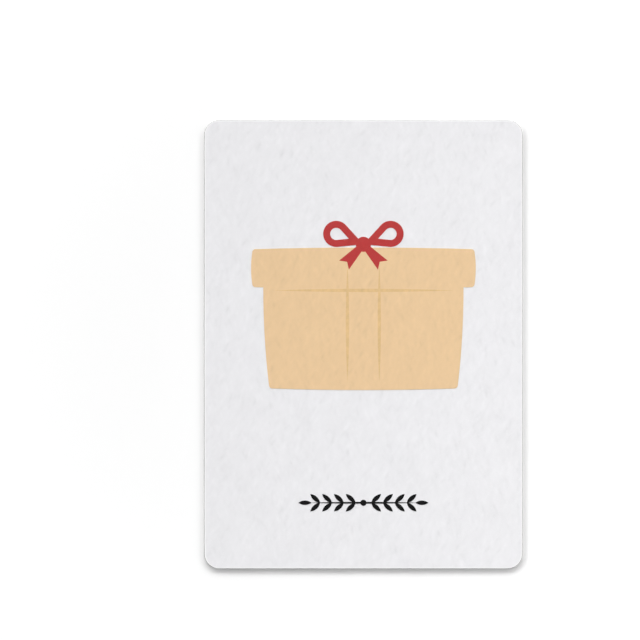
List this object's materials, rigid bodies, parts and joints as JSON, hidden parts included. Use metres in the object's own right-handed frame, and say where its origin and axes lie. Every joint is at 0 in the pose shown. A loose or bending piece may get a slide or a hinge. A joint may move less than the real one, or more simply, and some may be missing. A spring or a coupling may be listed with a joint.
{
  "type": "greeting card",
  "caption": "Flat upright greeting card of textured board with rounded corners, printed with a present, a bow and a small laurel.",
  "frame": {"origin": "middle of the back face, which lies on the table", "axes": "+X across the card, +Y up the print, +Z out of the printed front"},
  "size_m": [0.105, 0.148, 0.0005],
  "materials": {
    "board": "matt white felt-marked card board",
    "peach_ink": "matt peach ink that takes the board's grain",
    "tone_ink": "matt ink, one tone deeper than the peach",
    "red_ink": "matt red ink",
    "black_ink": "matt black ink"
  },
  "bodies": {
    "root": {"card": "board", "box_print": "peach_ink", "line_print": "tone_ink", "bow_print": "red_ink", "laurel_print": "black_ink"}
  },
  "joints": []
}
